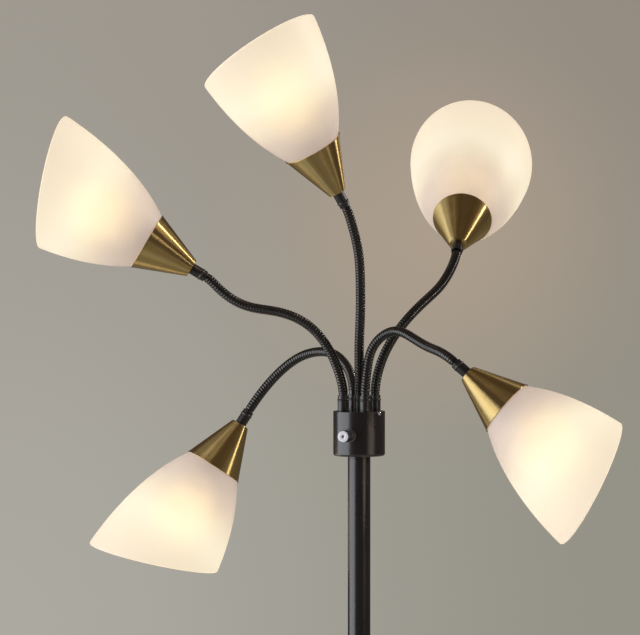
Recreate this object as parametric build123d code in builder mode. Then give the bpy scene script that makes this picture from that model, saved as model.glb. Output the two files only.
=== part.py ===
from build123d import *
import math
import os

# Tree floor lamp: a weighted round base, a sectional pole and a round hub from which five
# goosenecks rise, each with a brass cone and an obliquely cut glass shade.
# The origin is the centre of the base's underside, +Z is up and -Y is the front, in millimetres.

# Overall heights and diameters
HUB_TOP = 1492.0
HUB_HEIGHT = 44.0
HUB_DIAMETER = 50.8
POLE_DIAMETER = 22.2
BASE_DIAMETER = 280.0

# Base
PAD_DIAMETER = 279.0
PAD_THICKNESS = 2.5
WEIGHT_DIAMETER = 260.0
WEIGHT_TOP = 15.0
NUT_RECESS_DIAMETER = 34.0
NUT_RECESS_TOP = 9.0
COVER_THICKNESS = 1.0
BUSHING_HOLE_RADIUS = 4.2
COVER_SIDES = 32

# Pole
POLE_WALL = 1.0
POLE_SECTIONS = 3
COUPLER_RADIUS = POLE_DIAMETER / 2 - POLE_WALL - 0.1
COUPLER_REACH = 11.0
COUPLER_RIM = 2.0
COUPLER_BORE = 7.0
NUT_ACROSS_FLATS = 26.0
NUT_THICKNESS = 5.0
POLE_SIDES = 16

# Hub
HUB_WALL = 1.2
HUB_CORNER = 3.0
HUB_SIDES = 24
PLATE_THICKNESS = 3.0
ARM_CIRCLE = 16.6
SCREW_ANGLES = (50.0, 230.0)
SCREW_HEAD_RADIUS = 2.1
SCREW_SHANK_RADIUS = 1.1
SCREW_SIDES = 8

# Switch, on an axis turned a little to the left of the front
SWITCH_ANGLE = -21.0
SWITCH_HEIGHT = HUB_TOP - 22.8
BUSHING_RADIUS = 3.5
SHAFT_RADIUS = 2.4
SWITCH_NUT_RADIUS = 6.9
KNOB_RADIUS = 5.7
KNOB_BACK = 31.1
KNOB_FRONT = 44.5
KNOB_FLUTES = 16

# Gooseneck arm
GOOSENECK_RADIUS = 4.7
GROOVE_RADIUS = 4.1
BORE_RADIUS = 2.2
RIBS = 30
NECK_SIDES = 8
BORE_STEP = 5
FERRULE_RADIUS = 5.5
FERRULE_FLOOR = 5.0
FERRULE_LENGTH = 15.7
SHANK_RADIUS = 4.1
SHANK_LENGTH = 14.0
ARM_SIDES = 10

# Head, measured along its own axis from the cone's rim: the shade lies at positive heights
CONE_LENGTH = 51.0
CONE_RIM_RADIUS = 29.5
CONE_SMALL_RADIUS = 8.75
CONE_WALL = 0.8
SHADE_WALL = 2.8
MOUTH_HEIGHT = 107.8
MOUTH_SLOPE = 0.38
HEAD_SIDES = 24
INNER_SIDES = 12

# The five arms: the ferrule's place on the hub in degrees from the front, or None in the
# middle, the gooseneck's route, the cone rim's centre, the head's aim and its long side.
ARMS = {
    "arm_1": {
        "around": 290,
        "route": [(-19, -8, 1527), (-31, -13, 1555), (-50, -20, 1577), (-79, -25, 1590)]
        + [(-110, -28, 1596), (-137, -29, 1613)],
        "rim": (-207.0, -30.0, 1659.0),
        "aim": (-0.856, -0.004, 0.517),
        "long_side": (0.486, -0.349, 0.801),
    },
    "arm_2": {
        "around": None,
        "route": [(0, -2, 1527), (0, -7, 1557), (1, -15, 1586), (1, -24, 1617)]
        + [(-1, -34, 1648), (-8, -44, 1678)],
        "rim": (-45.7, -62.0, 1750.5),
        "aim": (-0.477, -0.203, 0.855),
        "long_side": (0.257, -0.963, -0.085),
    },
    "arm_3": {
        "around": 110,
        "route": [(18, 5, 1527), (28, 5, 1554), (45, 10, 1579), (65, 26, 1599)]
        + [(82, 48, 1615)],
        "rim": (105.0, 140.0, 1678.5),
        "aim": (0.109, 0.865, 0.490),
        "long_side": (-0.069, -0.486, 0.871),
    },
    "arm_4": {
        "around": 20,
        "route": [(7, -14, 1527), (14, -14, 1556), (32, -27, 1571), (51, -51, 1566)]
        + [(66, -79, 1558)],
        "rim": (140.4, -135.0, 1501.5),
        "aim": (0.739, -0.201, -0.643),
        "long_side": (-0.553, -0.726, -0.409),
    },
    "arm_5": {
        "around": 200,
        "route": [(-7, 24, 1522), (-18, 49, 1541), (-34, 77, 1547), (-56, 99, 1542)]
        + [(-79, 112, 1525)],
        "rim": (-145.5, 106.0, 1430.2),
        "aim": (-0.534, -0.109, -0.838),
        "long_side": (-0.763, -0.363, 0.534),
    },
}

PLATE_BOTTOM = HUB_TOP - PLATE_THICKNESS
HUB_BOTTOM = HUB_TOP - HUB_HEIGHT
POLE_RADIUS = POLE_DIAMETER / 2
HUB_RADIUS = HUB_DIAMETER / 2


def save(part, name):
    part.label = name
    export_step(part, f"parts/{name}.step")


def front_direction(degrees):
    # A level direction, counted from the front towards +X.
    angle = math.radians(degrees)
    return Vector(math.sin(angle), -math.cos(angle), 0)


def ring(plane, radius, sides):
    # The corners of a flat-sided round section on a plane.
    angles = [2 * math.pi * side / sides for side in range(sides)]
    places = [(radius * math.cos(angle), radius * math.sin(angle), 0) for angle in angles]
    return [plane.from_local_coords(place) for place in places]


def panel(corners):
    return Face(Wire.make_polygon(corners))


def skin(rings, flat):
    # The panels round a closed loop of rings. Flat panels have four corners, others three.
    panels = []
    for ring_a, ring_b in zip(rings, rings[1:] + rings[:1]):
        for a, b, c, d in zip(ring_a, ring_b, ring_b[1:] + ring_b[:1], ring_a[1:] + ring_a[:1]):
            if flat:
                panels.append(panel([a, b, c, d]))
            else:
                panels += [panel([a, b, c]), panel([a, c, d])]
    return panels


def turned(outline, sides):
    # A turned piece with flat sides, from its closed outline of (radius, height) points.
    # Flat sides keep the lamp light, and leave the true round by about half a millimetre at most.
    rings = [ring(Plane.XY.offset(height), radius, sides) for radius, height in outline if radius]
    panels = skin(rings, flat=True)
    if len(rings) < len(outline):
        panels = panels[:-sides] + [panel(rings[0]), panel(rings[-1])]
    return Solid(Shell(panels))


os.makedirs("parts", exist_ok=True)

# ---- Base: a felt pad, a cast weight and a thin spun cover with a neck round the pole ----

with BuildPart() as base_pad:
    with BuildSketch():
        RegularPolygon(PAD_DIAMETER / 2, COVER_SIDES)
    extrude(amount=PAD_THICKNESS)
save(base_pad.part, "base_pad")

with BuildPart() as base_weight:
    with BuildSketch(Plane.XY.offset(PAD_THICKNESS)):
        RegularPolygon(WEIGHT_DIAMETER / 2, COVER_SIDES)
    extrude(amount=WEIGHT_TOP - PAD_THICKNESS)
    with BuildSketch(Plane.XY.offset(PAD_THICKNESS)):
        RegularPolygon(NUT_RECESS_DIAMETER / 2, POLE_SIDES)
    extrude(amount=NUT_RECESS_TOP - PAD_THICKNESS, mode=Mode.SUBTRACT)
    with BuildSketch(Plane.XY.offset(PAD_THICKNESS)):
        RegularPolygon(COUPLER_RADIUS + 0.4, POLE_SIDES)
    extrude(amount=WEIGHT_TOP, mode=Mode.SUBTRACT)
save(base_weight.part, "base_weight")

COVER_OUTLINE = [
    (BASE_DIAMETER / 2, PAD_THICKNESS),
    (BASE_DIAMETER / 2, 13.0),
    (BASE_DIAMETER / 2 - 5, 18.5),
    (22.0, 28.0),
    (14.0, 37.0),
    (POLE_RADIUS + 1.2, 50.0),
    (POLE_RADIUS + 0.2, 50.0),
    (13.0, 36.5),
    (21.4, 27.0),
    (BASE_DIAMETER / 2 - 5.6, 17.5),
    (BASE_DIAMETER / 2 - COVER_THICKNESS, 12.7),
    (BASE_DIAMETER / 2 - COVER_THICKNESS, PAD_THICKNESS),
]
BUSHING_PLANE = Plane(origin=(0, BASE_DIAMETER / 2, 7.5), x_dir=(1, 0, 0), z_dir=(0, 1, 0))

with BuildPart() as base_cover:
    add(turned(COVER_OUTLINE, COVER_SIDES))
    with BuildSketch(BUSHING_PLANE.offset(-5)):
        RegularPolygon(BUSHING_HOLE_RADIUS, ARM_SIDES)
    extrude(amount=10, mode=Mode.SUBTRACT)
save(base_cover.part, "base_cover")

# The bushing that the supply cord would leave through, in the cover's rear wall.
CORD_BUSHING_OUTLINE = [
    (2.8, -6.0),
    (BUSHING_HOLE_RADIUS - 0.4, -6.0),
    (BUSHING_HOLE_RADIUS - 0.4, 0.1),
    (6.0, 0.1),
    (5.2, 1.9),
    (2.8, 1.9),
]
with BuildPart() as cord_bushing:
    with Locations(BUSHING_PLANE):
        add(turned(CORD_BUSHING_OUTLINE, ARM_SIDES))
save(cord_bushing.part, "cord_bushing")

# ---- Pole: equal tubes screwed together over short threaded couplers with flush rims ----

RIM_HEIGHTS = [WEIGHT_TOP]
SECTION_LENGTH = (HUB_BOTTOM - WEIGHT_TOP - COUPLER_RIM * (POLE_SECTIONS + 1)) / POLE_SECTIONS
for section in range(POLE_SECTIONS):
    foot = RIM_HEIGHTS[-1] + COUPLER_RIM
    RIM_HEIGHTS.append(foot + SECTION_LENGTH)
    with BuildPart() as pole_section:
        with BuildSketch(Plane.XY.offset(foot)):
            RegularPolygon(POLE_RADIUS, POLE_SIDES)
            RegularPolygon(POLE_RADIUS - POLE_WALL, POLE_SIDES, mode=Mode.SUBTRACT)
        extrude(amount=SECTION_LENGTH)
    save(pole_section.part, f"pole_section_{section + 1}")

COUPLER_OUTLINE = [
    (COUPLER_BORE, -COUPLER_REACH),
    (COUPLER_RADIUS, -COUPLER_REACH),
    (COUPLER_RADIUS, 0),
    (POLE_RADIUS, 0),
    (POLE_RADIUS, COUPLER_RIM),
    (COUPLER_RADIUS, COUPLER_RIM),
    (COUPLER_RADIUS, COUPLER_RIM + COUPLER_REACH),
    (COUPLER_BORE, COUPLER_RIM + COUPLER_REACH),
]
with BuildPart() as pole_couplers:
    with Locations(*[(0, 0, rim) for rim in RIM_HEIGHTS]):
        add(turned(COUPLER_OUTLINE, POLE_SIDES))
save(pole_couplers.part, "pole_couplers")

# One nut pulls the weight up to the lowest coupler, the other holds the hub on the highest.
with BuildPart() as coupler_nuts:
    for height in (NUT_RECESS_TOP - NUT_THICKNESS, HUB_BOTTOM + HUB_WALL):
        with BuildSketch(Plane.XY.offset(height)):
            RegularPolygon(NUT_ACROSS_FLATS / 2, 6, major_radius=False)
            RegularPolygon(COUPLER_RADIUS + 0.3, POLE_SIDES, mode=Mode.SUBTRACT)
        extrude(amount=NUT_THICKNESS)
save(coupler_nuts.part, "coupler_nuts")

# ---- Hub: a drawn cup with a rounded lower corner, closed by a thick plate ----

SWITCH_FRONT = front_direction(SWITCH_ANGLE)
SWITCH_PLANE = Plane(origin=(0, 0, SWITCH_HEIGHT), x_dir=(0, 0, 1), z_dir=SWITCH_FRONT)
SCREW_HEIGHT = HUB_TOP - PLATE_THICKNESS / 2
SCREW_PLANES = [
    Plane(origin=(0, 0, SCREW_HEIGHT), x_dir=(0, 0, 1), z_dir=front_direction(angle))
    for angle in SCREW_ANGLES
]
ARM_FEET = {
    name: Vector(0, 0, HUB_TOP)
    + (Vector() if arm["around"] is None else front_direction(arm["around"]) * ARM_CIRCLE)
    for name, arm in ARMS.items()
}

HUB_OUTLINE = [
    (COUPLER_RADIUS + 0.3, HUB_BOTTOM),
    (HUB_RADIUS - HUB_CORNER, HUB_BOTTOM),
    (HUB_RADIUS - HUB_CORNER * 0.3, HUB_BOTTOM + HUB_CORNER * 0.3),
    (HUB_RADIUS, HUB_BOTTOM + HUB_CORNER),
    (HUB_RADIUS, HUB_TOP),
    (HUB_RADIUS - HUB_WALL, HUB_TOP),
    (HUB_RADIUS - HUB_WALL, HUB_BOTTOM + HUB_CORNER),
    (HUB_RADIUS - HUB_CORNER, HUB_BOTTOM + HUB_WALL),
    (COUPLER_RADIUS + 0.3, HUB_BOTTOM + HUB_WALL),
]
with BuildPart() as hub_shell:
    add(turned(HUB_OUTLINE, HUB_SIDES))
    with BuildSketch(SWITCH_PLANE):
        RegularPolygon(BUSHING_RADIUS + 0.3, ARM_SIDES)
    extrude(amount=HUB_DIAMETER, mode=Mode.SUBTRACT)
    for plane in SCREW_PLANES:
        with BuildSketch(plane.offset(HUB_RADIUS - 2 * HUB_WALL)):
            RegularPolygon(SCREW_SHANK_RADIUS + 0.2, SCREW_SIDES)
        extrude(amount=4 * HUB_WALL, mode=Mode.SUBTRACT)
save(hub_shell.part, "hub_shell")

with BuildPart() as hub_top_plate:
    with BuildSketch(Plane.XY.offset(PLATE_BOTTOM)):
        RegularPolygon(HUB_RADIUS - HUB_WALL - 0.3, HUB_SIDES)
        with Locations(*[(foot.X, foot.Y) for foot in ARM_FEET.values()]):
            RegularPolygon(SHANK_RADIUS + 0.3, ARM_SIDES, mode=Mode.SUBTRACT)
    extrude(amount=PLATE_THICKNESS)
save(hub_top_plate.part, "hub_top_plate")

# Round-headed screws through the shell into the plate's edge, their heads a little proud.
SCREW_OUTLINE = [
    (0, -1.2),
    (SCREW_SHANK_RADIUS, -1.2),
    (SCREW_SHANK_RADIUS, 0),
    (SCREW_HEAD_RADIUS, 0),
    (SCREW_HEAD_RADIUS, 0.7),
    (SCREW_HEAD_RADIUS * 0.6, 1.6),
    (0, 1.6),
]
with BuildPart() as hub_screws:
    with Locations(*[plane.offset(HUB_RADIUS + 0.05) for plane in SCREW_PLANES]):
        add(turned(SCREW_OUTLINE, SCREW_SIDES))
save(hub_screws.part, "hub_screws")

# ---- Switch: its body inside the hub, a ring nut outside and a fluted turning knob ----

SHAFT_FOOT = 21.0
SHAFT_OUTLINE = [
    (0, SHAFT_FOOT),
    (BUSHING_RADIUS, SHAFT_FOOT),
    (BUSHING_RADIUS, KNOB_BACK - 0.4),
    (SHAFT_RADIUS, KNOB_BACK - 0.4),
    (SHAFT_RADIUS, KNOB_BACK + 7.0),
    (0, KNOB_BACK + 7.0),
]
with BuildPart() as switch_body:
    with BuildSketch(SWITCH_PLANE.offset(6)):
        Rectangle(17, 20)
    extrude(amount=SHAFT_FOOT + 0.5 - 6)
    with Locations(SWITCH_PLANE):
        add(turned(SHAFT_OUTLINE, ARM_SIDES))
save(switch_body.part, "switch_body")

SWITCH_NUT_OUTLINE = [
    (BUSHING_RADIUS + 0.3, HUB_RADIUS),
    (SWITCH_NUT_RADIUS, HUB_RADIUS),
    (SWITCH_NUT_RADIUS, HUB_RADIUS + 2.3),
    (SWITCH_NUT_RADIUS - 0.7, HUB_RADIUS + 3.0),
    (BUSHING_RADIUS + 0.3, HUB_RADIUS + 3.0),
]
with BuildPart() as switch_nut:
    with Locations(SWITCH_PLANE):
        add(turned(SWITCH_NUT_OUTLINE, POLE_SIDES))
save(switch_nut.part, "switch_nut")

with BuildPart() as switch_knob:
    with BuildSketch(SWITCH_PLANE.offset(KNOB_BACK)):
        RegularPolygon(KNOB_RADIUS, 2 * KNOB_FLUTES)
        with PolarLocations(KNOB_RADIUS, KNOB_FLUTES):
            RegularPolygon(0.6, 4, mode=Mode.SUBTRACT)
    extrude(amount=KNOB_FRONT - KNOB_BACK)
    with BuildSketch(SWITCH_PLANE.offset(KNOB_BACK)):
        RegularPolygon(SHAFT_RADIUS + 0.4, ARM_SIDES)
    extrude(amount=7.5, mode=Mode.SUBTRACT)
    with BuildSketch(SWITCH_PLANE.offset(KNOB_FRONT)):
        RegularPolygon(1.3, SCREW_SIDES)
    extrude(amount=-1.0, mode=Mode.SUBTRACT)
save(switch_knob.part, "switch_knob")

# ---- Forms that every arm repeats, each drawn on its own axis ----

# A ferrule stands at height 0: a threaded shank below, a sleeve that grips the gooseneck above.
FERRULE_OUTLINE = [
    (0, -SHANK_LENGTH),
    (SHANK_RADIUS, -SHANK_LENGTH),
    (SHANK_RADIUS, 0),
    (FERRULE_RADIUS, 0),
    (FERRULE_RADIUS, FERRULE_LENGTH - 5.4),
    (FERRULE_RADIUS + 0.5, FERRULE_LENGTH - 4.8),
    (FERRULE_RADIUS - 0.1, FERRULE_LENGTH),
    (GOOSENECK_RADIUS + 0.2, FERRULE_LENGTH),
    (GOOSENECK_RADIUS + 0.2, FERRULE_FLOOR),
    (0, FERRULE_FLOOR),
]
with BuildPart() as ferrule:
    add(turned(FERRULE_OUTLINE, ARM_SIDES))

# The cone is a spun shell with a flat small end, pierced for the ferrule's shank.
with BuildPart() as cone:
    add(
        turned(
            [
                (CONE_RIM_RADIUS, 0),
                (CONE_RIM_RADIUS - CONE_WALL, 0),
                (CONE_SMALL_RADIUS - CONE_WALL, -CONE_LENGTH + 1),
                (SHANK_RADIUS + 0.2, -CONE_LENGTH + 1),
                (SHANK_RADIUS + 0.2, -CONE_LENGTH),
                (CONE_SMALL_RADIUS, -CONE_LENGTH),
            ],
            HEAD_SIDES,
        )
    )

# The lamp holder: a cap on the shank, a body, a shelf under the shade and a threaded shell.
SHELF_TOP = -7.0
with BuildPart() as socket:
    add(
        turned(
            [
                (0, -36.5),
                (SHANK_RADIUS + 0.2, -36.5),
                (SHANK_RADIUS + 0.2, -42.0),
                (8.0, -42.0),
                (15.0, -31.0),
                (15.0, SHELF_TOP - 2),
                (20.0, SHELF_TOP - 2),
                (20.0, SHELF_TOP),
                (16.5, SHELF_TOP),
                (16.5, 12.0),
                (13.6, 12.0),
                (13.6, -16.0),
                (0, -16.0),
            ],
            INNER_SIDES,
        )
    )

with BuildPart() as shade_ring:
    add(
        turned(
            [
                (16.8, SHELF_TOP + SHADE_WALL),
                (21.5, SHELF_TOP + SHADE_WALL),
                (21.5, 0.5),
                (16.8, 0.5),
            ],
            INNER_SIDES,
        )
    )

with BuildPart() as bulb:
    add(
        turned(
            [
                (0, -15.5),
                (13.0, -15.5),
                (13.0, 14.0),
                (25.0, 38.0),
                (30.0, 58.0),
                (25.0, 76.0),
                (10.0, 88.0),
                (0, 88.0),
            ],
            INNER_SIDES,
        )
    )

# The glass: a flat floor on the shelf, a shoulder tucked into the cone's rim and a wall that
# swells to its widest near the mouth, which is cut off at a slant.
SHADE_OUTSIDE = [
    (17.0, SHELF_TOP),
    (24.5, SHELF_TOP),
    (28.2, 0.0),
    (33.3, 7.8),
    (41.7, 23.5),
    (51.0, 47.0),
    (58.3, 74.5),
    (62.9, 102.0),
    (64.7, 136.0),
]
SHADE_INSIDE = [
    (64.7 - SHADE_WALL, 136.0),
    (62.9 - SHADE_WALL, 102.0),
    (51.0 - SHADE_WALL, 48.2),
    (41.7 - SHADE_WALL, 25.0),
    (26.0, SHELF_TOP + SHADE_WALL),
    (17.0, SHELF_TOP + SHADE_WALL),
]
with BuildPart() as shade:
    add(turned(SHADE_OUTSIDE + SHADE_INSIDE, HEAD_SIDES))
    split(
        bisect_by=Plane(origin=(0, 0, MOUTH_HEIGHT), z_dir=(-MOUTH_SLOPE, 0, 1)),
        keep=Keep.BOTTOM,
    )

HEAD_FORMS = {
    "cone": cone,
    "socket": socket,
    "shade_ring": shade_ring,
    "shade": shade,
    "bulb": bulb,
}


def neck_plane(curve, side, step):
    # A plane square to the gooseneck after a number of half ribs, with one steady side.
    along = step / (2 * RIBS)
    heading = curve.tangent_at(along)
    steady = side - heading * side.dot(heading)
    return Plane(origin=curve.position_at(along), x_dir=steady, z_dir=heading)


def gooseneck(curve, side, first, last, seat):
    # Half of a ribbed tube with a bore. Its ribs end at the ferrule, where it runs on plain
    # into the sleeve as far as the seat.
    steps = list(range(first, last + 1))
    planes = {step: neck_plane(curve, side, step) for step in steps}
    radii = [GOOSENECK_RADIUS if step % 2 else GROOVE_RADIUS for step in steps]
    outer = [ring(planes[step], radius, NECK_SIDES) for step, radius in zip(steps, radii)]
    bore = [ring(planes[step], BORE_RADIUS, NECK_SIDES) for step in steps[::BORE_STEP]]
    end = first if seat == "foot" else last
    reach = FERRULE_LENGTH - FERRULE_FLOOR
    plug = planes[end].offset(-reach if seat == "foot" else reach)
    plug_outer = ring(plug, GROOVE_RADIUS, NECK_SIDES)
    plug_bore = ring(plug, BORE_RADIUS, NECK_SIDES)
    if seat == "foot":
        rings = [plug_bore, plug_outer] + outer + bore[::-1]
    else:
        rings = outer + [plug_outer, plug_bore] + bore[::-1]
    return Solid(Shell(skin(rings, flat=False)))


# ---- The arms ----

for name, arm in ARMS.items():
    foot = ARM_FEET[name]
    head = Plane(origin=arm["rim"], x_dir=arm["long_side"], z_dir=arm["aim"])
    aim = head.z_dir
    outward = Vector(head.origin.X, head.origin.Y, 0) - Vector(foot.X, foot.Y, 0)
    side = Vector(0, 0, 1).cross(outward).normalized()

    neck_start = foot + Vector(0, 0, FERRULE_LENGTH)
    neck_end = head.origin - aim * (CONE_LENGTH + FERRULE_LENGTH)
    with BuildLine() as neck:
        Spline(neck_start, *arm["route"], neck_end, tangents=[(0, 0, 1), aim], tangent_scalars=[1, 1])
    curve = neck.edge()
    print(name, "gooseneck length", round(curve.length + 2 * (FERRULE_LENGTH - FERRULE_FLOOR), 1))
    save(gooseneck(curve, side, 0, RIBS, "foot"), f"{name}_gooseneck_lower")
    save(gooseneck(curve, side, RIBS, 2 * RIBS, "head"), f"{name}_gooseneck_upper")

    base_seat = Plane(origin=foot, x_dir=side, z_dir=(0, 0, 1))
    steady = side - aim * side.dot(aim)
    head_seat = Plane(origin=head.origin - aim * CONE_LENGTH, x_dir=steady, z_dir=-aim)
    save(base_seat.location * ferrule.part, f"{name}_base_ferrule")
    save(head_seat.location * ferrule.part, f"{name}_head_ferrule")
    for kind, form in HEAD_FORMS.items():
        save(head.location * form.part, f"{name}_{kind}")
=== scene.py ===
import math
from functools import partial

import bmesh
import bpy
import numpy as np
from mathutils import Matrix, Vector


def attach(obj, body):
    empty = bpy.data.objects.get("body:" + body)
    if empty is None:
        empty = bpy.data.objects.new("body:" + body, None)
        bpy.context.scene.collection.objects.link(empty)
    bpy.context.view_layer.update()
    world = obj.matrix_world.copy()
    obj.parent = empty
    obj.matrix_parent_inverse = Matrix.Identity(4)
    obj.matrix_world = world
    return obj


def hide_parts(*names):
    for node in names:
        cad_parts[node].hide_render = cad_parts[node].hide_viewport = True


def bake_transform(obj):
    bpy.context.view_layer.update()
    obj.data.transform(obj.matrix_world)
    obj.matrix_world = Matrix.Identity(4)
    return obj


# Tree floor lamp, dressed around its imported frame. The pieces' sizes are in millimetres, and
# every mesh is made in metres, standing where the frame has it.

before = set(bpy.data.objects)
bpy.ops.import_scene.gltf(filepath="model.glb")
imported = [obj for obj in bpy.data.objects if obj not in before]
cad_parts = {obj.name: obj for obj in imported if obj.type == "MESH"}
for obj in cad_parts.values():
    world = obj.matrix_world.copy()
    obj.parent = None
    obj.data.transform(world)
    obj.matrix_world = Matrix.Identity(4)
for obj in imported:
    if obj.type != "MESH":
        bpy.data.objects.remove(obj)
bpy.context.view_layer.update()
mm = 0.001

hub = {"top": 1492.0, "height": 44.0, "radius": 25.4, "wall": 1.2, "corner": 3.0, "plate": 3.0}
pole = {"radius": 11.1, "wall": 1.0, "sections": 3, "rim": 2.0, "foot": 15.0, "reach": 11.0,
        "couplerBore": 7.0}
switchSeat = {"angle": -21.0, "height": hub["top"] - 22.8}
ferrule = {"radius": 5.5, "length": 15.7, "seat": 5.0, "bore": 4.9, "shank": 4.1,
           "shankFoot": -14.0}
coneForm = {"length": 51.0, "rim": 29.5, "small": 8.75, "wall": 0.8, "hole": 4.3}

# Each arm: its foot's place round the hub in degrees from the front, or None in the middle,
# the gooseneck's route, the cone rim's centre, the head's aim and the shade's long side.
armFootRadius = 16.6
arms = {
    "arm_1": {
        "around": 290,
        "route": [(-19, -8, 1527), (-31, -13, 1555), (-50, -20, 1577), (-79, -25, 1590),
                  (-110, -28, 1596), (-137, -29, 1613)],
        "rim": (-207.0, -30.0, 1659.0),
        "aim": (-0.856, -0.004, 0.517),
        "longSide": (0.486, -0.349, 0.801),
    },
    "arm_2": {
        "around": None,
        "route": [(0, -2, 1527), (0, -7, 1557), (1, -15, 1586), (1, -24, 1617),
                  (-1, -34, 1648), (-8, -44, 1678)],
        "rim": (-45.7, -62.0, 1750.5),
        "aim": (-0.477, -0.203, 0.855),
        "longSide": (0.257, -0.963, -0.085),
    },
    "arm_3": {
        "around": 110,
        "route": [(18, 5, 1527), (28, 5, 1554), (45, 10, 1579), (65, 26, 1599),
                  (82, 48, 1615)],
        "rim": (105.0, 140.0, 1678.5),
        "aim": (0.109, 0.865, 0.490),
        "longSide": (-0.069, -0.486, 0.871),
    },
    "arm_4": {
        "around": 20,
        "route": [(7, -14, 1527), (14, -14, 1556), (32, -27, 1571), (51, -51, 1566),
                  (66, -79, 1558)],
        "rim": (140.4, -135.0, 1501.5),
        "aim": (0.739, -0.201, -0.643),
        "longSide": (-0.553, -0.726, -0.409),
    },
    "arm_5": {
        "around": 200,
        "route": [(-7, 24, 1522), (-18, 49, 1541), (-34, 77, 1547), (-56, 99, 1542),
                  (-79, 112, 1525)],
        "rim": (-145.5, 106.0, 1430.2),
        "aim": (-0.534, -0.109, -0.838),
        "longSide": (-0.763, -0.363, 0.534),
    },
}


# Node helpers. A socket's value is a number or colour, or another node's socket to link from.

def feed(node, sockets):
    for socket, value in sockets.items():
        if isinstance(value, bpy.types.NodeSocket):
            node.id_data.links.new(value, node.inputs[socket])
        else:
            node.inputs[socket].default_value = value
    return node


def addNode(tree, kind, sockets=None, **settings):
    node = tree.nodes.new(kind)
    for setting, value in settings.items():
        setattr(node, setting, value)
    return feed(node, sockets or {})


def nextNode(kind, sockets, **settings):
    # The outputs of a new node in the tree that the first of its linked sockets belongs to.
    tree = next(value.id_data for value in sockets.values()
                if isinstance(value, bpy.types.NodeSocket))
    return addNode(tree, kind, sockets, **settings).outputs


def maths(operation, *values):
    return nextNode("ShaderNodeMath", dict(enumerate(values)), operation=operation)[0]


plus, minus, times, over = (partial(maths, operation)
                            for operation in ("ADD", "SUBTRACT", "MULTIPLY", "DIVIDE"))


def vectorMaths(operation, *values):
    outputs = nextNode("ShaderNodeVectorMath", dict(enumerate(values)), operation=operation)
    return outputs["Value" if operation == "LENGTH" else "Vector"]


def scaled(vector, factor):
    return nextNode("ShaderNodeVectorMath", {0: vector, "Scale": factor}, operation="SCALE")[0]


def split(vector):
    return nextNode("ShaderNodeSeparateXYZ", {0: vector})


def joined(*parts):
    return nextNode("ShaderNodeCombineXYZ", dict(enumerate(parts)))[0]


def outwardFrom(parts):
    # The level direction away from a turned piece's own axis.
    return vectorMaths("NORMALIZE", joined(parts[0], parts[1], 0.0))


def ranged(value, lowIn, highIn, lowOut=0.0, highOut=1.0, smooth=False):
    return nextNode("ShaderNodeMapRange",
                    {"Value": value, "From Min": lowIn, "From Max": highIn,
                     "To Min": lowOut, "To Max": highOut},
                    interpolation_type="SMOOTHSTEP" if smooth else "LINEAR")["Result"]


def mixed(factor, *colours):
    start, end = (colour if isinstance(colour, bpy.types.NodeSocket) else (*colour, 1.0)
                  for colour in colours)
    return nextNode("ShaderNodeMix", {0: factor, 6: start, 7: end}, data_type="RGBA")[2]


def noise(vector, scale, detail=2.0, roughness=0.5):
    return nextNode("ShaderNodeTexNoise", {"Vector": vector, "Scale": scale, "Detail": detail,
                                           "Roughness": roughness})["Fac"]


socketKinds = {float: "Float", int: "Int", bool: "Bool"}


def nodeGroup(name, kind, inputs, outputs):
    # An input gives its start value, or else its kind of socket, and an output its kind.
    group = bpy.data.node_groups.new(name, kind)
    for label, start in inputs.items():
        socketKind = socketKinds.get(type(start), start)
        socket = group.interface.new_socket(label, in_out="INPUT",
                                            socket_type="NodeSocket" + socketKind)
        if socketKind != start:
            socket.default_value = start
    for label, socketKind in outputs.items():
        group.interface.new_socket(label, in_out="OUTPUT", socket_type="NodeSocket" + socketKind)
    return group, group.nodes.new("NodeGroupInput").outputs, group.nodes.new("NodeGroupOutput")


def makeFineGrain():
    # The tiny unevenness of paint, plastic or cast metal, and a slow drift of tone.
    group, given, result = nodeGroup(
        "fineGrain", "ShaderNodeTree", {"Vector": "Vector", "Scale": 900.0, "Drift": 18.0},
        {"Height": "Float", "Tone": "Float"})
    fine = noise(given["Vector"], given["Scale"], 3.0, 0.6)
    coarse = noise(given["Vector"], times(given["Scale"], 0.18))
    feed(result, {"Height": plus(times(fine, 0.6), times(coarse, 0.4)),
                  "Tone": noise(given["Vector"], given["Drift"], 4.0, 0.6)})
    return group


def makeBrushLines():
    # Lines left by brushing a turned piece on the lathe: fine rings round its axis, as a lean
    # of the normal along the side, and wide soft streaks where it isn't quite round.
    group, given, result = nodeGroup(
        "brushLines", "ShaderNodeTree",
        {"Own Place": "Vector", "Along": "Vector", "Ring Fineness": 9000.0, "Ring Lean": 0.5,
         "Streak Fineness": 3.2, "Streak Lean": 0.016},
        {"Normal": "Vector", "Streaks": "Float"})
    parts = split(given["Own Place"])
    around = outwardFrom(parts)
    run = joined(0.0, 0.0, times(parts[2], given["Ring Fineness"]))
    rings = noise(vectorMaths("ADD", around, run), 1.0, 0.0)
    streaks = noise(around, given["Streak Fineness"], 4.0, 0.65)
    normal = addNode(group, "ShaderNodeNewGeometry").outputs["Normal"]
    across = vectorMaths("CROSS_PRODUCT", normal, given["Along"])
    leans = [scaled(way, times(minus(waves, 0.5), times(given[amount], 4.0)))
             for way, waves, amount in ((given["Along"], rings, "Ring Lean"),
                                        (across, streaks, "Streak Lean"))]
    total = vectorMaths("ADD", normal, vectorMaths("ADD", *leans))
    feed(result, {"Normal": vectorMaths("NORMALIZE", total), "Streaks": streaks})
    return group


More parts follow.
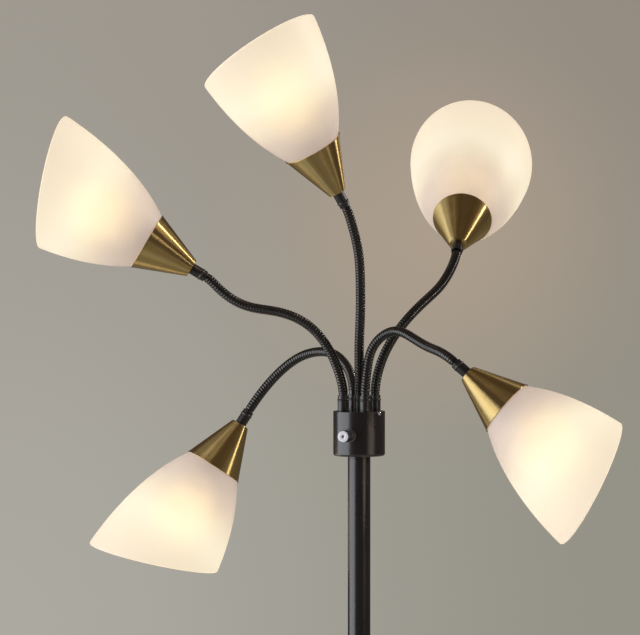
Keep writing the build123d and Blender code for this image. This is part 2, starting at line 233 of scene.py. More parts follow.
def makeEdgeWearAndGleam():
    # Lighter edges at the corner marks of a turned outline, broken up: partly wear and partly a
    # painted highlight.
    group, given, result = nodeGroup(
        "edgeWearAndGleam", "ShaderNodeTree", {"Edge Mark": 0.0, "Vector": "Vector", "Amount": 0.5},
        {"Mask": "Float"})
    patches = ranged(noise(given["Vector"], 160.0, 4.0, 0.7), 0.4, 0.62)
    feed(result, {"Mask": times(times(given["Edge Mark"], patches), given["Amount"])})
    return group


def makeSettledDust():
    # A thin veil of dust on what faces up.
    group, given, result = nodeGroup(
        "settledDust", "ShaderNodeTree", {"Vector": "Vector", "Amount": 0.2}, {"Mask": "Float"})
    up = split(addNode(group, "ShaderNodeNewGeometry").outputs["Normal"])[2]
    specks = ranged(noise(given["Vector"], 420.0, 5.0, 0.75), 0.35, 0.75)
    mask = times(ranged(up, 0.35, 1.0, smooth=True), specks)
    feed(result, {"Mask": times(mask, given["Amount"])})
    return group


fineGrain, brushLines = makeFineGrain(), makeBrushLines()
edgeWearAndGleam, settledDust = makeEdgeWearAndGleam(), makeSettledDust()


def useGroup(group, sockets):
    return nextNode("ShaderNodeGroup", sockets, node_tree=group)


def ownAttribute(shader, name, output="Fac"):
    return addNode(shader.id_data, "ShaderNodeAttribute", attribute_name=name).outputs[output]


def startMaterial(name, look, onOwnAxis=False):
    # The place that patterns follow is the whole lamp's, or else the piece's on its own axis.
    material = bpy.data.materials.new(name)
    material.use_nodes = True
    shader = feed(material.node_tree.nodes["Principled BSDF"], look["shader"])
    if onOwnAxis:
        return material, shader, ownAttribute(shader, "ownPlace", "Vector")
    return material, shader, addNode(shader.id_data, "ShaderNodeTexCoord").outputs["Object"]


def bumped(height, strength, distance=0.0001):
    return nextNode("ShaderNodeBump", {"Height": height, "Strength": strength,
                                       "Distance": distance})["Normal"]


def roughened(tone, look):
    return ranged(tone, 0.3, 0.7, *look["roughness"])


# Lighter edges, partly wear and partly a painted highlight.
def withEdgeWearAndGleam(colour, edgeShare, place, amount, bare):
    mask = useGroup(edgeWearAndGleam, {"Edge Mark": edgeShare, "Vector": place, "Amount": amount})["Mask"]
    return mixed(mask, colour, bare)


dustColour = (0.45, 0.43, 0.40)


def makeGrainyFinish(name, look):
    # Paint, plastic, felt and plain metals: a drifting tone, grain, lighter edges as wear and
    # painted highlight, and dust.
    material, shader, place = startMaterial(name, look)
    grain = useGroup(fineGrain, {"Vector": place, "Scale": look["grain"], "Drift": look["drift"]})
    colour = mixed(grain["Tone"], look["dark"], look["light"])
    colour = withEdgeWearAndGleam(colour, ownAttribute(shader, "edgeMark"), place, look.get("edgeMark", 0.0),
                        look.get("wornAndGleamingEdge", look["light"]))
    dust = useGroup(settledDust, {"Vector": place, "Amount": look.get("dust", 0.0)})["Mask"]
    feed(shader, {"Base Color": mixed(dust, colour, dustColour),
                  "Roughness": roughened(grain["Tone"], look),
                  "Normal": bumped(grain["Height"], look["bump"], look.get("depth", 0.0001))})
    return material


satinBlack = makeGrainyFinish("satinBlackPaint", {
    "shader": {"IOR": 1.75, "Coat Weight": 0.30, "Coat Roughness": 0.20},
    "dark": (0.0120, 0.0098, 0.0140), "light": (0.0170, 0.0140, 0.0190),
    "roughness": (0.25, 0.30), "grain": 1400.0, "drift": 22.0, "bump": 0.04,
    "edgeMark": 0.5, "wornAndGleamingEdge": (0.13, 0.12, 0.12), "dust": 0.05,
})
baseFelt = makeGrainyFinish("baseFelt", {
    "shader": {"Sheen Weight": 0.5, "Sheen Roughness": 0.6},
    "dark": (0.010, 0.010, 0.010), "light": (0.035, 0.034, 0.032),
    "roughness": (0.9, 1.0), "grain": 2200.0, "drift": 500.0, "bump": 0.8, "depth": 0.0004,
})
castWeight = makeGrainyFinish("castWeight", {
    "shader": {"Metallic": 0.4},
    "dark": (0.05, 0.05, 0.055), "light": (0.13, 0.12, 0.12),
    "roughness": (0.6, 0.8), "grain": 600.0, "drift": 30.0, "bump": 0.7, "depth": 0.0005,
})
blackPlastic = makeGrainyFinish("blackPlastic", {
    "shader": {"IOR": 1.5},
    "dark": (0.012, 0.012, 0.012), "light": (0.022, 0.021, 0.020),
    "roughness": (0.40, 0.52), "grain": 1800.0, "drift": 60.0, "bump": 0.25,
    "edgeMark": 0.2, "wornAndGleamingEdge": (0.2, 0.2, 0.2),
})
zincSteel = makeGrainyFinish("zincPlatedSteel", {
    "shader": {"Metallic": 1.0},
    "dark": (0.36, 0.36, 0.38), "light": (0.60, 0.59, 0.56),
    "roughness": (0.30, 0.48), "grain": 900.0, "drift": 120.0, "bump": 0.2,
})
screwSteel = makeGrainyFinish("brightScrewSteel", {
    "shader": {"Metallic": 1.0},
    "dark": (0.86, 0.86, 0.88), "light": (0.97, 0.97, 0.98),
    "roughness": (0.12, 0.20), "grain": 1500.0, "drift": 200.0, "bump": 0.06,
    "edgeMark": 0.6, "wornAndGleamingEdge": (0.92, 0.91, 0.92),
})
sleeveBlack = makeGrainyFinish("sleeveBlackPaint", {
    "shader": {"IOR": 1.8, "Coat Weight": 0.2, "Coat Roughness": 0.25},
    "dark": (0.0085, 0.0070, 0.0088), "light": (0.0130, 0.0108, 0.0130),
    "roughness": (0.30, 0.40), "grain": 1500.0, "drift": 60.0, "bump": 0.08,
    "edgeMark": 0.35, "wornAndGleamingEdge": (0.09, 0.08, 0.075),
})
nutBlack = makeGrainyFinish("nutBlackNickel", {
    "shader": {"IOR": 2.6, "Coat Weight": 0.5, "Coat Roughness": 0.15},
    "dark": (0.008, 0.007, 0.010), "light": (0.014, 0.012, 0.016),
    "roughness": (0.16, 0.26), "grain": 1500.0, "drift": 60.0, "bump": 0.08,
    "edgeMark": 0.8, "wornAndGleamingEdge": (0.22, 0.21, 0.23),
})


brassLook = {
    "shader": {"Metallic": 1.0, "Anisotropic": 1.0},
    "dark": (0.66, 0.455, 0.165), "light": (0.80, 0.62, 0.285), "streaks": (0.35, 0.65),
    "tarnish": (0.38, 0.25, 0.085), "spots": (0.52, 0.75, 0.0, 0.35),
    "roughness": (0.32, 0.37), "lean": 0.13, "edgeMark": 0.6, "wornAndGleamingEdge": (0.90, 0.78, 0.52),
}


def makeBrushedBrass(look):
    # Antique brass brushed round and round, so that its lights are drawn out along the cone.
    material, shader, own = startMaterial("brushedAntiqueBrass", look, onOwnAxis=True)
    tangent = addNode(shader.id_data, "ShaderNodeTangent", direction_type="UV_MAP",
                      uv_map="turnedUv").outputs[0]
    lines = useGroup(brushLines, {"Own Place": own, "Along": tangent, "Ring Lean": look["lean"]})
    tone = useGroup(fineGrain, {"Vector": own, "Scale": 1500.0, "Drift": 30.0})["Tone"]
    colour = mixed(ranged(lines["Streaks"], *look["streaks"]), look["dark"], look["light"])
    colour = mixed(ranged(tone, *look["spots"]), colour, look["tarnish"])
    colour = withEdgeWearAndGleam(colour, ownAttribute(shader, "edgeMark"), own, look["edgeMark"], look["wornAndGleamingEdge"])
    feed(shader, {"Base Color": colour, "Roughness": roughened(tone, look), "Tangent": tangent,
                  "Normal": lines["Normal"]})
    return material


glassLook = {
    "shader": {"Roughness": 0.52, "IOR": 1.45, "Transmission Weight": 0.42,
               "Emission Strength": 0.56},
    "body": (0.56, 0.53, 0.51), "bodyLow": (0.50, 0.47, 0.46), "cloud": 26.0, "cloudShift": 0.03,
    "from": -7.0, "to": 133.0,
    # The painted glow's colour along the shade, from the neck to the tip of the mouth: painted
    # light beside the bulb, and painted shade low at the neck, where the holder and the bulb's
    # collar block the light.
    "glow": [(0.00, (0.44, 0.34, 0.29)), (0.12, (0.50, 0.40, 0.33)), (0.25, (0.61, 0.50, 0.40)),
             (0.38, (0.81, 0.70, 0.51)), (0.50, (0.90, 0.82, 0.61)), (0.60, (0.91, 0.83, 0.62)),
             (0.75, (0.91, 0.79, 0.57)), (1.00, (0.87, 0.74, 0.55))],
}


def makeOpalGlass(look):
    # Satin opal glass with a painted glow: the bulb's light is painted on as emission that follows
    # its place along the shade.
    material, shader, own = startMaterial("glowPaintedOpalGlass", look, onOwnAxis=True)
    cloud, shift = noise(own, look["cloud"], 3.0), look["cloudShift"]
    along = plus(ranged(split(own)[2], look["from"] * mm, look["to"] * mm),
                 ranged(cloud, 0.3, 0.7, -shift, shift))
    ramp = addNode(shader.id_data, "ShaderNodeValToRGB", {"Fac": along})
    stops = ramp.color_ramp.elements
    while len(stops) < len(look["glow"]):
        stops.new(0.5)
    for stop, (position, colour) in zip(stops, look["glow"]):
        stop.position = position
        stop.color = (*colour, 1)
    grain = useGroup(fineGrain, {"Vector": own, "Scale": 700.0, "Drift": 20.0})
    feed(shader, {"Emission Color": ramp.outputs["Color"], "Normal": bumped(grain["Height"], 0.05),
                  "Base Color": mixed(cloud, look["bodyLow"], look["body"])})
    return material


bulbLook = {"shader": {"Roughness": 0.4, "Emission Strength": 2.7},
            "warm": (1.0, 0.70, 0.20), "pale": (1.0, 0.82, 0.32), "collar": (0.30, 0.20, 0.12),
            "collarTop": 12.0, "litFrom": 34.0,
            "frostLow": (0.80, 0.78, 0.74), "frost": (0.88, 0.87, 0.84)}


def makeBulbGlow(look):
    # A frosted bulb: brightest round its middle, darker at the collar above its cap.
    material, shader, own = startMaterial("frostedBulb", look, onOwnAxis=True)
    cloud = noise(own, 60.0)
    lit = ranged(split(own)[2], look["collarTop"] * mm, look["litFrom"] * mm, smooth=True)
    glow = mixed(lit, look["collar"], mixed(cloud, look["warm"], look["pale"]))
    feed(shader, {"Emission Color": glow,
                  "Base Color": mixed(cloud, look["frostLow"], look["frost"])})
    return material


knobLook = {"shader": {"Metallic": 1.0}, "rings": 5200.0,
            "dark": (0.80, 0.79, 0.86), "light": (0.97, 0.96, 1.0), "roughness": (0.30, 0.42),
            # The side and dimple colours are painted shade on the fluted side and in the dimple.
            "shadedSide": (0.10, 0.095, 0.11), "dimpleShade": (0.10, 0.09, 0.16), "dimpleRadii": (0.5, 1.5)}


def makeTurnedSilver(look):
    # A machined knob: fine rings on its face, with painted shade darkening the dimple and the
    # fluted side.
    material, shader, own = startMaterial("turnedSilver", look, onOwnAxis=True)
    parts = split(own)
    radius = vectorMaths("LENGTH", joined(parts[0], parts[1], 0.0))
    rings = maths("SINE", times(radius, look["rings"]))
    grain = useGroup(fineGrain, {"Vector": own, "Scale": 1800.0, "Drift": 300.0})
    tone = plus(grain["Tone"], times(rings, 0.10))
    inDimple = ranged(radius, *(size * mm for size in look["dimpleRadii"]), 0.85, 0.0)
    colour = mixed(inDimple, mixed(tone, look["dark"], look["light"]), look["dimpleShade"])
    colour = mixed(times(ownAttribute(shader, "sideMark"), 0.8), colour, look["shadedSide"])
    feed(shader, {"Base Color": colour, "Roughness": roughened(tone, look),
                  "Normal": bumped(rings, 0.12, 0.00005)})
    return material


neckLook = {"shader": {"IOR": 1.75, "Coat Weight": 0.3, "Coat Roughness": 0.12},
            # The groove colour is painted shade in the grooves between the ribs, and the crest
            # colour is the black of the ribs.
            "groove": (0.0012, 0.0010, 0.0012), "crest": (0.0060, 0.0046, 0.0050),
            "edgeMark": 0.30, "wornAndGleamingEdge": (0.040, 0.034, 0.032), "roughness": (0.18, 0.28)}


def makeNeckBlack(look):
    # The wound gooseneck: black with a brown cast, darker in the grooves between its ribs as
    # painted shade, and lighter on the crests as wear and painted highlight.
    material, shader, place = startMaterial("woundNeckBlack", look)
    crest = ownAttribute(shader, "ribCrest")
    grain = useGroup(fineGrain, {"Vector": place, "Scale": 1600.0, "Drift": 45.0})
    # Painted shade in the grooves, and lighter crests as wear and painted highlight.
    colour = withEdgeWearAndGleam(mixed(crest, look["groove"], look["crest"]), ranged(crest, 0.80, 1.0),
                        place, look["edgeMark"], look["wornAndGleamingEdge"])
    feed(shader, {"Base Color": colour, "Roughness": roughened(grain["Tone"], look),
                  "Normal": bumped(grain["Height"], 0.12, 0.00008)})
    return material


brushedBrass, glowPaintedOpalGlass = makeBrushedBrass(brassLook), makeOpalGlass(glassLook)
frostedBulb, turnedSilver = makeBulbGlow(bulbLook), makeTurnedSilver(knobLook)
neckBlack = makeNeckBlack(neckLook)
print("finishes made")


def softened(outline, arcSteps=4):
    # The closed outline with its corners drawn round, as far as each one's third number says.
    points = []
    for before, here, after in zip(outline[-1:] + outline[:-1], outline, outline[1:] + outline[:1]):
        corner = Vector(here[:2])
        reach = here[2] if len(here) > 2 else 0
        if not reach:
            points.append((corner.x, corner.y, 0.0))
            continue
        start, end = (corner + side.normalized() * min(reach, side.length * 0.45)
                      for side in (Vector(before[:2]) - corner, Vector(after[:2]) - corner))
        for step in range(arcSteps + 1):
            t = step / arcSteps
            point = start * (1 - t) ** 2 + corner * 2 * t * (1 - t) + end * t * t
            points.append((point.x, point.y, 4 * t * (1 - t)))
    return points


def turnedMesh(name, outline, sides=96):
    # A turned solid from a closed outline of (radius, height, edge mark), on its own axis.
    build = bmesh.new()
    edgeMark = build.verts.layers.float.new("edgeMark")
    turnedUv = build.loops.layers.uv.new("turnedUv")
    rows, runs = [], outlineRuns(outline)
    for radius, height, edgeShare in outline:
        angles = [2 * math.pi * side / sides for side in range(sides if radius else 1)]
        row = [build.verts.new((radius * mm * math.cos(angle), radius * mm * math.sin(angle),
                                height * mm)) for angle in angles]
        for vert in row:
            vert[edgeMark] = edgeShare
        rows.append(row)
    for index, (rowA, rowB) in enumerate(zip(rows, rows[1:] + rows[:1])):
        for side in range(sides):
            spots = [(rowA, side, index), (rowA, side + 1, index),
                     (rowB, side + 1, index + 1), (rowB, side, index + 1)]
            corners = {row[turn % len(row)]: (runs[at], turn / sides) for row, turn, at in spots}
            if len(corners) > 2:
                for loop in build.faces.new(corners).loops:
                    loop[turnedUv].uv = corners[loop.vert]
    return closedMesh(build, name)


def outlineRuns(outline):
    # How far along the outline each point is, from 0 to 1.
    ends = np.array([point[:2] for point in outline + outline[:1]], float)
    steps = np.linalg.norm(np.diff(ends, axis=0), axis=1)
    return np.concatenate([[0.0], np.cumsum(steps)]) / steps.sum()


def plainMesh(build, name):
    mesh = bpy.data.meshes.new(name)
    build.to_mesh(mesh)
    build.free()
    return mesh


def closedMesh(build, name):
    bmesh.ops.recalc_face_normals(build, faces=build.faces)
    return keepOwnPlace(plainMesh(build, name))


def keepOwnPlace(mesh):
    # Each point remembers where it was on its own axis, so that patterns can follow the piece.
    spots = np.zeros(len(mesh.vertices) * 3, np.float32)
    mesh.vertices.foreach_get("co", spots)
    own = mesh.attributes.get("ownPlace") or mesh.attributes.new("ownPlace", "FLOAT_VECTOR",
                                                                 "POINT")
    own.data.foreach_set("vector", spots)
    return mesh


def placeOn(origin, axis, sideways):
    zAxis = Vector(axis).normalized()
    xAxis = Vector(sideways) - zAxis * zAxis.dot(Vector(sideways))
    xAxis.normalize()
    place = Matrix((xAxis, zAxis.cross(xAxis), zAxis)).transposed().to_4x4()
    place.translation = Vector(origin) * mm
    return place


def newObject(name, data):
    added = bpy.data.objects.new(name, data)
    bpy.context.scene.collection.objects.link(added)
    return added


def addPiece(name, mesh, material, body, slotName, *nodes, place=None):
    mesh = mesh.copy()
    if place:
        mesh.transform(place)
    mesh.polygons.foreach_set("use_smooth", [True] * len(mesh.polygons))
    mesh.set_sharp_from_angle(angle=math.radians(38))
    mesh.materials.clear()
    mesh.materials.append(material)
    piece = newObject(name, mesh)
    if body:
        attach(piece, body)
    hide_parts(*nodes)
    return piece


def addTurned(name, outline, material, slotName, node, sides=96, arcSteps=4, place=None):
    mesh = turnedMesh(name, softened(outline, arcSteps), sides)
    addPiece(name, mesh, material, "stand", slotName, node, place=place)


def geometryTree(name, inputs):
    return nodeGroup(name, "GeometryNodeTree",
                     {"Geometry": "Geometry", **inputs, "Material": "Material"},
                     {"Geometry": "Geometry"})


def finishTree(geometry, given, result):
    solid = nextNode("GeometryNodeRealizeInstances", {"Geometry": geometry})[0]
    painted = nextNode("GeometryNodeSetMaterial",
                       {"Geometry": solid, "Material": given["Material"]})
    feed(result, {"Geometry": painted[0]})


def enabledSocket(sockets, name):
    return next(socket for socket in sockets if socket.name == name and socket.enabled)


def stored(geometry, name, value, dataType="FLOAT"):
    node = addNode(geometry.id_data, "GeometryNodeStoreNamedAttribute",
                   {"Geometry": geometry, "Name": name}, data_type=dataType, domain="POINT")
    node.id_data.links.new(value, enabledSocket(node.inputs, "Value"))
    return node.outputs["Geometry"]


def named(tree, name, dataType="FLOAT"):
    node = addNode(tree, "GeometryNodeInputNamedAttribute", {"Name": name}, data_type=dataType)
    return enabledSocket(node.outputs, "Attribute")


def moved(geometry, offset):
    return nextNode("GeometryNodeSetPosition", {"Geometry": geometry, "Offset": offset})[0]


def bakedMesh(source, tree, values, name):
    # Runs a tree on a new object holding the source and returns its result as a plain mesh.
    carrier = newObject(name + "Source", source)
    modifier = carrier.modifiers.new(tree.name, "NODES")
    modifier.node_group = tree
    for item in tree.interface.items_tree:
        if item.item_type == "SOCKET" and item.in_out == "INPUT" and item.name in values:
            modifier[item.identifier] = values[item.name]
    mesh = evaluatedMesh(carrier, name)
    carrier.modifiers.remove(modifier)
    bpy.data.objects.remove(carrier)
    return mesh


def evaluatedMesh(carrier, name):
    evaluated = carrier.evaluated_get(bpy.context.evaluated_depsgraph_get())
    mesh = bpy.data.meshes.new_from_object(evaluated)
    mesh.name = name
    return mesh


def makeWoundNeckTree():
    # A wound tube along a curve. The ribs run on without a break where the tube is parted.
    tree, given, result = geometryTree("woundNeck", {
        "Stations": 600, "Around": 28, "Groove Radius": 0.0041, "Rib Height": 0.0006,
        "Rib Pitch": 0.00285, "Plain End": 0.0112, "Keep Upper": False})
    line = nextNode("GeometryNodeResampleCurve",
                    {"Curve": given["Geometry"], "Count": given["Stations"]})[0]
    total = nextNode("GeometryNodeCurveLength", {0: line})[0]
    along = addNode(tree, "GeometryNodeSplineParameter").outputs
    spot = addNode(tree, "GeometryNodeInputPosition").outputs[0]
    line = stored(line, "neckRun", along["Length"])
    line = stored(line, "neckCentre", spot, "FLOAT_VECTOR")
    ring = nextNode("GeometryNodeCurvePrimitiveCircle",
                    {"Resolution": given["Around"], "Radius": given["Groove Radius"]})[0]
    ring = stored(ring, "neckTurn", along["Factor"])
    tube = nextNode("GeometryNodeCurveToMesh",
                    {"Curve": line, "Profile Curve": ring, "Fill Caps": True})[0]
    # Each rib is half an ellipse along the tube, and the ribs die out towards the plain ends.
    run, pitch, plain = named(tree, "neckRun"), given["Rib Pitch"], given["Plain End"]
    phase = plus(over(run, pitch), named(tree, "neckTurn"))
    across = minus(times(maths("FRACT", phase), 2.0), 1.0)
    rib = maths("SQRT", minus(1.0, times(across, across)))
    rises = [ranged(fromEnd, plain, plus(plain, pitch), smooth=True)
             for fromEnd in (run, minus(total, run))]
    tube = stored(tube, "ribCrest", times(rib, times(*rises)))
    outward = vectorMaths("NORMALIZE", vectorMaths(
        "SUBTRACT", spot, named(tree, "neckCentre", "FLOAT_VECTOR")))
    tube = moved(tube, scaled(outward, times(named(tree, "ribCrest"), given["Rib Height"])))
    runOfFace = nextNode("GeometryNodeFieldOnDomain", {0: run}, data_type="FLOAT", domain="FACE")[0]
    isUpper = nextNode("FunctionNodeCompare", {0: runOfFace, 1: times(total, 0.5)},
                       data_type="FLOAT", operation="GREATER_THAN")[0]
    dropped = nextNode("FunctionNodeBooleanMath", {0: isUpper, 1: given["Keep Upper"]},
                       operation="XOR")[0]
    kept = nextNode("GeometryNodeDeleteGeometry", {"Geometry": tube, "Selection": dropped},
                    domain="FACE")[0]
    finishTree(kept, given, result)
    return tree


def makeFlutingTree():
    # Flutes cut into the side of a turned piece, as deep as its own side mark says.
    tree, given, result = geometryTree("fluting", {"Flutes": 16.0, "Depth": 0.0004})
    parts = split(addNode(tree, "GeometryNodeInputPosition").outputs[0])
    angle = maths("ARCTAN2", parts[1], parts[0])
    wave = maths("ABSOLUTE", maths("SINE", times(angle, times(given["Flutes"], 0.5))))
    cut = times(times(minus(wave, 1.0), given["Depth"]), named(tree, "sideMark"))
    finishTree(moved(given["Geometry"], scaled(outwardFrom(parts), cut)), given, result)
    return tree


def makeSlantCutTree(outside, highest, steps=14):
    # Moves a level-mouthed turned shade up or down its own outline to a slanting mouth.
    tree, given, result = geometryTree("slantCut", {"Mouth Height": 0.1078, "Mouth Slope": 0.38})

    def radiusAt(height):
        curve = addNode(tree, "ShaderNodeFloatCurve", {"Value": over(height, highest * mm)})
        points = curve.mapping.curves[0].points
        for step in range(1, steps):
            points.new(step / steps, outside(highest * step / steps) / 100)
        points[0].location = (0, outside(0) / 100)
        points[-1].location = (1, outside(highest) / 100)
        curve.mapping.update()
        return times(curve.outputs[0], 0.1)

    parts = split(addNode(tree, "GeometryNodeInputPosition").outputs[0])
    outward = outwardFrom(parts)
    slope, mouth = times(given["Mouth Slope"], split(outward)[0]), given["Mouth Height"]
    # The mouth's height depends on the radius there, which three rounds settle.
    for settling in range(3):
        mouth = plus(given["Mouth Height"], times(slope, radiusAt(mouth)))
    height = maths("MAXIMUM", parts[2], 0.0)
    raised = times(height, over(mouth, given["Mouth Height"]))
    offset = scaled(outward, minus(radiusAt(raised), radiusAt(height)))
    lift = joined(0.0, 0.0, minus(raised, height))
    raisedShade = moved(given["Geometry"], vectorMaths("ADD", offset, lift))
    finishTree(raisedShade, given, result)
    return tree


def makeScrewSetTree():
    # The same screw on every seat, turned to face the way the seat does.
    tree, given, result = geometryTree("screwSet", {"Screw": "Object"})
    screw = nextNode("GeometryNodeObjectInfo", {"Object": given["Screw"]})["Geometry"]
    turn = nextNode("FunctionNodeAlignRotationToVector",
                    {"Vector": named(tree, "facing", "FLOAT_VECTOR")}, axis="Z")[0]
    spread = nextNode("GeometryNodeInstanceOnPoints",
                      {"Points": given["Geometry"], "Instance": screw, "Rotation": turn})
    finishTree(spread[0], given, result)
    return tree


woundNeckTree, flutingTree = makeWoundNeckTree(), makeFlutingTree()
screwSetTree = makeScrewSetTree()
print("geometry node trees made")


baseForm = {"radius": 140.0, "foot": 2.5, "shoulder": 13.0, "thickness": 1.0, "neckTop": 50.0,
            "padRadius": 139.5, "bushingHeight": 7.5}


def makeBase():
    radius, foot, neckTop = baseForm["radius"], baseForm["foot"], baseForm["neckTop"]
    inner, bore = radius - baseForm["thickness"], pole["radius"] + 0.2
    coverOutline = [
        (radius, foot, 0.3), (radius, baseForm["shoulder"], 4.0), (radius - 5, 18.5, 6.0),
        (22.0, 28.0, 14.0), (14.0, 37.0, 5.0), (bore + 1, neckTop, 0.4), (bore, neckTop, 0.2),
        (13.0, 36.5, 4.0), (21.4, 27.0, 10.0), (radius - 5.6, 17.5, 5.0), (inner, 12.7, 3.0),
        (inner, foot, 0.3)]
    addTurned("spunBaseCover", coverOutline, satinBlack, "black_paint", "base_cover", 160, 8)
    padRadius = baseForm["padRadius"]
    padOutline = [(0, 0), (padRadius, 0, 0.8), (padRadius, foot, 0.8), (0, foot)]
    addTurned("feltBasePad", padOutline, baseFelt, "felt", "base_pad", 160)
    bushingOutline = [(2.8, -6.0, 0.3), (3.8, -6.0, 0.3), (3.8, 0.1), (6.0, 0.1, 0.3),
                      (5.2, 1.9, 0.6), (2.8, 1.9, 0.5)]
    rearWall = placeOn((0, radius, baseForm["bushingHeight"]), (0, 1, 0), (1, 0, 0))
    addTurned("rearCordBushing", bushingOutline, blackPlastic, "black_plastic", "cord_bushing",
              48, place=rearWall)


makeBase()
print("base made")


def makePole():
    radius, wall, sections, rim, height, reach, bore = pole.values()
    hubBottom = hub["top"] - hub["height"]
    sectionLength = (hubBottom - height - rim * (sections + 1)) / sections
    inner = radius - wall - 0.1
    couplerOutline = softened([
        (bore, -reach, 0.3), (inner, -reach, 0.6), (inner, 0), (radius, 0, 0.25),
        (radius, rim, 0.25), (inner, rim), (inner, rim + reach, 0.6), (bore, rim + reach, 0.3)])
    coupler = turnedMesh("poleCoupler", couplerOutline, 64)
    couplers = bmesh.new()
    for section in range(sections + 1):
        copied = coupler.copy()
        copied.transform(Matrix.Translation((0, 0, height * mm)))
        couplers.from_mesh(copied)
        if section < sections:
            bottom, top = height + rim, height + rim + sectionLength
            tubeOutline = [(radius - wall, bottom, 0.1), (radius, bottom, 0.25),
                           (radius, top, 0.25), (radius - wall, top, 0.1)]
            addTurned(f"poleTube_{section + 1}", tubeOutline, satinBlack, "black_paint",
                      f"pole_section_{section + 1}")
        height += rim + sectionLength
    addPiece("poleCouplerSet", closedMesh(couplers, "poleCouplerSet"), satinBlack, "stand",
             "black_paint", "pole_couplers")


makePole()
print("pole made")


def makeHub():
    top, height, radius, wall, corner, plate = hub.values()
    bottom = top - height
    bore = pole["radius"] - pole["wall"] + 0.2
    cupOutline = [(bore, bottom, 0.2), (radius, bottom, corner), (radius, top, 0.55),
                  (radius - wall, top, 0.2), (radius - wall, bottom + wall, corner - wall),
                  (bore, bottom + wall, 0.2)]
    addTurned("drawnHubCup", cupOutline, satinBlack, "black_paint", "hub_shell", 128, 8)
    plateRadius, plateFoot = radius - wall - 0.3, top - plate
    plateOutline = [(0, plateFoot), (plateRadius, plateFoot, 0.2), (plateRadius, top, 0.5),
                    (0, top)]
    addTurned("hubTopPlate", plateOutline, satinBlack, "black_paint", "hub_top_plate", 128)


def levelDirection(degrees):
    # Counted from the front towards the right.
    angle = math.radians(degrees)
    return Vector((math.sin(angle), -math.cos(angle), 0))


screwForm = {"angles": (50.0, 230.0), "below": 1.5, "head": 2.1, "dome": 1.6,
             "slotLength": 2.4, "slotWidth": 0.42, "slotDepth": 0.6, "slotTurn": 0.5}


def makeScrews():
    headOutline = softened([
        (0, -1.2), (1.1, -1.2, 0.1), (1.1, 0), (screwForm["head"], 0, 0.1),
        (screwForm["head"], 0.45, 0.15), (1.98, 0.8), (1.72, 1.12), (1.35, 1.36), (0.9, 1.51),
        (0.45, 1.58), (0, screwForm["dome"])])
    screw = newObject("screwPattern", turnedMesh("screwHead", headOutline, 40))
    slotSize = (screwForm["slotLength"], screwForm["slotWidth"], screwForm["slotDepth"] * 2)
    cutters = []
    for turn in (0.0, math.pi / 2):
        build = bmesh.new()
        bmesh.ops.create_cube(build, size=mm)
        slot = plainMesh(build, "screwSlot")
        slot.transform(Matrix.Translation((0, 0, screwForm["dome"] * mm))
                       @ Matrix.Rotation(turn + screwForm["slotTurn"], 4, "Z")
                       @ Matrix.Diagonal((*slotSize, 1)))
        cutters.append(newObject("screwSlot", slot))
        modifier = screw.modifiers.new("slot", "BOOLEAN")
        modifier.operation, modifier.object, modifier.solver = "DIFFERENCE", cutters[-1], "EXACT"
    cut = evaluatedMesh(screw, "cutScrewHead")
    screw.modifiers.clear()
    screw.data = cut
    seats = [levelDirection(angle) for angle in screwForm["angles"]]
    points = bpy.data.meshes.new("screwSeats")
    lift = Vector((0, 0, (hub["top"] - screwForm["below"]) * mm))
    points.from_pydata([seat * (hub["radius"] + 0.05) * mm + lift for seat in seats], [], [])
    facing = points.attributes.new("facing", "FLOAT_VECTOR", "POINT")
    facing.data.foreach_set("vector", [part for seat in seats for part in seat])
    mesh = bakedMesh(points, screwSetTree, {"Screw": screw, "Material": screwSteel}, "hubScrewSet")
    for extra in cutters + [screw]:
        bpy.data.objects.remove(extra)
    addPiece("hubScrewSet", mesh, screwSteel, "stand", "dark_screw", "hub_screws")


knobForm = {"radius": 5.7, "back": 31.1, "front": 44.5, "flutes": 16, "depth": 0.4, "bore": 2.8,
            "boreDepth": 7.5}
nutForm = {"radius": 6.9, "bore": 3.8, "thickness": 3.0, "flutes": 20, "depth": 0.35}


def flutedMesh(name, outline, form, fromRadius, belowHeight, material):
    # Marks the side of a turned piece and cuts its flutes there.
    turned = turnedMesh(name, outline, 192)
    sideMark = turned.attributes.new("sideMark", "FLOAT", "POINT")
    sideMark.data.foreach_set("value", [
        float(math.hypot(vert.co.x, vert.co.y) > fromRadius * mm and vert.co.z < belowHeight * mm)
        for vert in turned.vertices])
    return bakedMesh(turned, flutingTree, {"Flutes": float(form["flutes"]), "Material": material,
                                           "Depth": form["depth"] * mm}, name)


